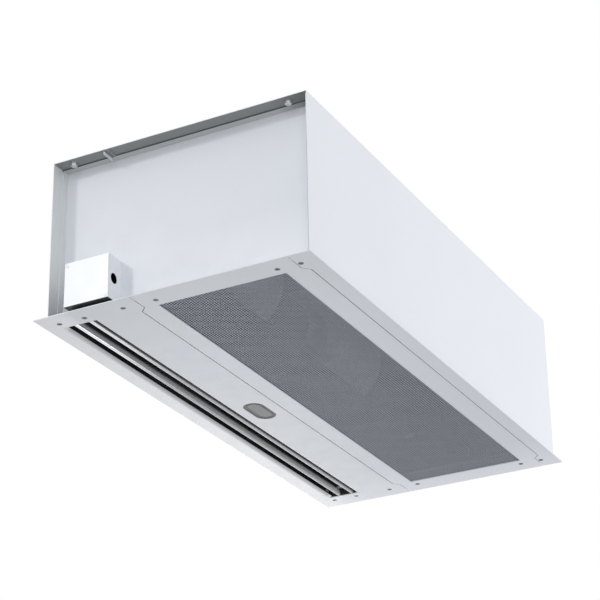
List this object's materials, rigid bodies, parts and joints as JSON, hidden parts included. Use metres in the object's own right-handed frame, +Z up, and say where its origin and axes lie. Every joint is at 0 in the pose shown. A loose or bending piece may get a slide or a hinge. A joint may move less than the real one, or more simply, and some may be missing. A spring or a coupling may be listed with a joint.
{
  "type": "recessed air curtain",
  "caption": "Long sheet-metal air curtain that hangs flush in a ceiling, with a vaned discharge slot, a perforated intake panel that swings down and fans inside.",
  "frame": {"origin": "Bottom centre of the ceiling flange.", "axes": "+Z up; +X along the cabinet to the service end with the junction box; -Y to the discharge slot, +Y to the intake."},
  "size_m": [1.25, 0.61, 0.356],
  "materials": {
    "cabinet_paint": "smooth off-white powder coat",
    "recess_paint": "smooth light grey powder coat",
    "flange_paint": "smooth light grey powder coat",
    "screen_paint": "light grey powder coat over perforated sheet",
    "box_paint": "white enamel",
    "polished_vane": "polished extrusion",
    "liner_black": "matt black coat",
    "zinc_sheet": "galvanised sheet",
    "zinc_screw": "zinc plated",
    "badge_metal": "satin grey",
    "badge_dark": "satin dark grey",
    "motor_paint": "black enamel",
    "motor_steel": "bare laminated steel",
    "winding_copper": "varnished copper",
    "bright_steel": "ground steel",
    "wheel_steel": "galvanised blades",
    "black_rubber": "matt",
    "capacitor_can": "drawn can",
    "ivory_plastic": "moulded",
    "earth_green": "green finish",
    "loom_sleeve": "braided sleeve"
  },
  "bodies": {
    "cabinet": {"cabinet_shell": "cabinet_paint", "end_panel_service": "recess_paint", "end_panel_blank": "recess_paint", "hanger_nuts": "zinc_screw", "cable_tab": "recess_paint", "discharge_panel": "flange_paint", "rear_trim_strip": "flange_paint", "discharge_screws": "zinc_screw", "trim_screws": "zinc_screw", "screw_clips": "zinc_screw", "hinge_rail": "zinc_sheet", "fixed_hinge_leaves": "zinc_sheet", "hinge_pins": "zinc_screw", "badge": "badge_metal", "badge_inlay": "badge_dark", "nozzle_front_wall": "liner_black", "plenum_rear_wall": "liner_black", "vane_brackets": "zinc_sheet", "fan_deck": "zinc_sheet", "scroll_wrap_service": "zinc_sheet", "scroll_wrap_blank": "zinc_sheet", "scroll_sides_service": "zinc_sheet", "scroll_sides_blank": "zinc_sheet", "inlet_rings_service": "zinc_sheet", "inlet_rings_blank": "zinc_sheet", "stator_core": "motor_steel", "stator_windings": "winding_copper", "motor_shell": "motor_paint", "motor_end_bells": "motor_paint", "motor_bearings": "bright_steel", "motor_through_bolts": "zinc_screw", "rubber_rings": "black_rubber", "motor_cradle": "zinc_sheet", "cradle_clamps": "zinc_sheet", "cradle_bolts": "zinc_screw", "capacitor": "capacitor_can", "capacitor_clip": "zinc_sheet", "junction_box": "box_paint", "junction_box_cover": "box_paint", "cover_screws": "box_paint", "terminal_block": "ivory_plastic", "earth_screw": "earth_green", "box_grommet": "black_rubber", "deck_grommet": "black_rubber", "motor_loom": "loom_sleeve"},
    "intake_door": {"intake_panel": "flange_paint", "intake_screen": "screen_paint", "screen_retainers": "zinc_sheet", "moving_hinge_leaves": "zinc_sheet", "intake_screws": "zinc_screw"},
    "front_vane": {"front_vane": "polished_vane", "front_vane_pins": "zinc_screw"},
    "rear_vane": {"rear_vane": "polished_vane", "rear_vane_pins": "zinc_screw"},
    "fan_rotor": {"motor_shaft": "bright_steel", "rotor_core": "motor_steel", "blower_wheel_service": "wheel_steel", "blower_wheel_blank": "wheel_steel", "hub_set_screws": "zinc_screw"}
  },
  "joints": [
    {"name": "intake_door_swing", "type": "hinge", "parent": "cabinet", "child": "intake_door", "pos_m": [0, -0.102, 0.0046], "axis": [-1, 0, 0], "range_deg": [0, 90]},
    {"name": "front_vane_tilt", "type": "hinge", "parent": "cabinet", "child": "front_vane", "pos_m": [0, -0.24635, 0.0113], "axis": [1, 0, 0], "range_deg": [-20, 20]},
    {"name": "rear_vane_tilt", "type": "hinge", "parent": "cabinet", "child": "rear_vane", "pos_m": [0, -0.21205, 0.0113], "axis": [1, 0, 0], "range_deg": [-20, 20]},
    {"name": "fan_spin", "type": "hinge", "parent": "cabinet", "child": "fan_rotor", "pos_m": [0, -0.1223, 0.215], "axis": [1, 0, 0], "continuous": true}
  ]
}
